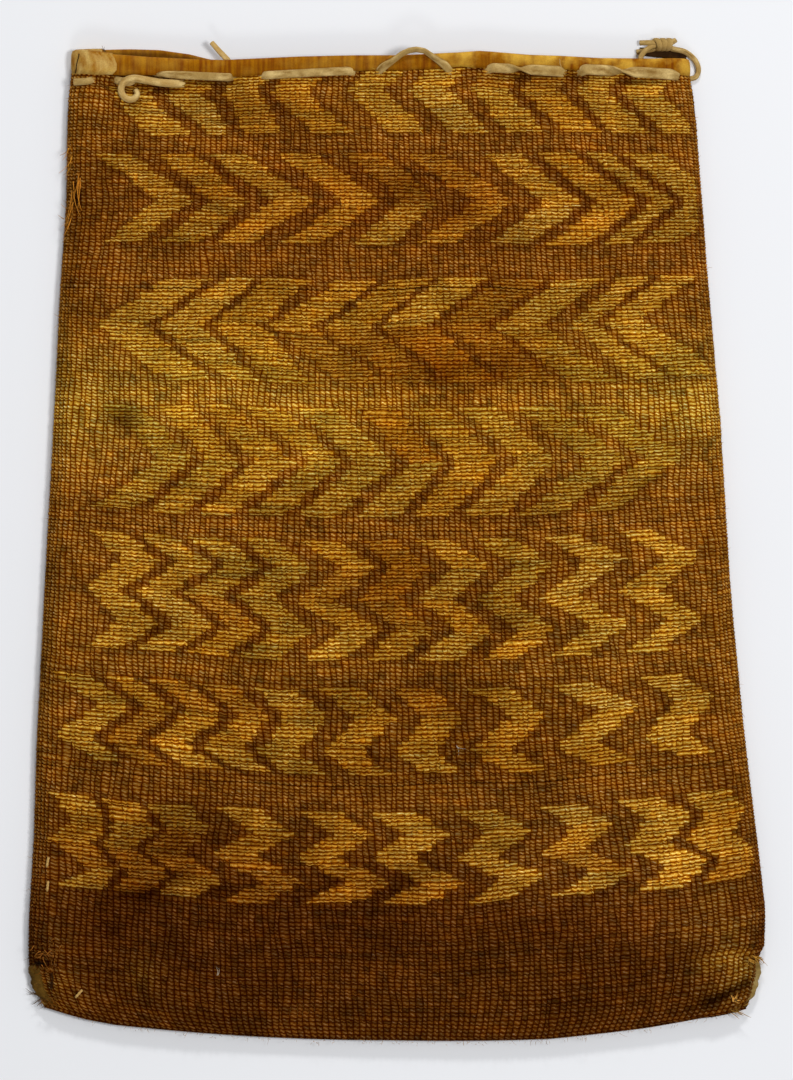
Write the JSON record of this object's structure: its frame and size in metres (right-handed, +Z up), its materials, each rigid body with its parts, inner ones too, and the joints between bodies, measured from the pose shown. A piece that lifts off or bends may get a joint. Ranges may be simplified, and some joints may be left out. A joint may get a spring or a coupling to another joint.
{
  "type": "cornhusk bag",
  "caption": "Flat open-mouthed twined bag with raised husk zigzag bands, a folded hide rim, hide lacing thongs with a knot and a curled end, and worn base corners; it holds loose dry goods.",
  "frame": {"origin": "middle of the part's footprint, on the surface that its back lies on", "axes": "+Z up out of the front face, +Y from the base towards the mouth, +X to the right when the front is seen with the mouth at the top"},
  "size_m": [0.44, 0.6006, 0.0201],
  "materials": {
    "twining": "twined plant fibre with raised golden husk figures, matte",
    "hide": "smoked hide, ochre with darker streaks, dull satin",
    "thong": "pale buff hide thong, dull",
    "patch": "dark worn hide",
    "stitch": "pale plant cord"
  },
  "bodies": {
    "root": {"twined_bag": "twining", "rim_binding": "hide", "front_thong": "thong", "back_thong": "thong", "curl_tail": "thong", "upright_tail": "thong", "thong_knot": "thong", "corner_patch_left": "patch", "corner_patch_right": "patch", "mending_stitch_upper": "stitch", "mending_stitch_lower": "stitch", "corner_stitch": "stitch"}
  },
  "joints": []
}
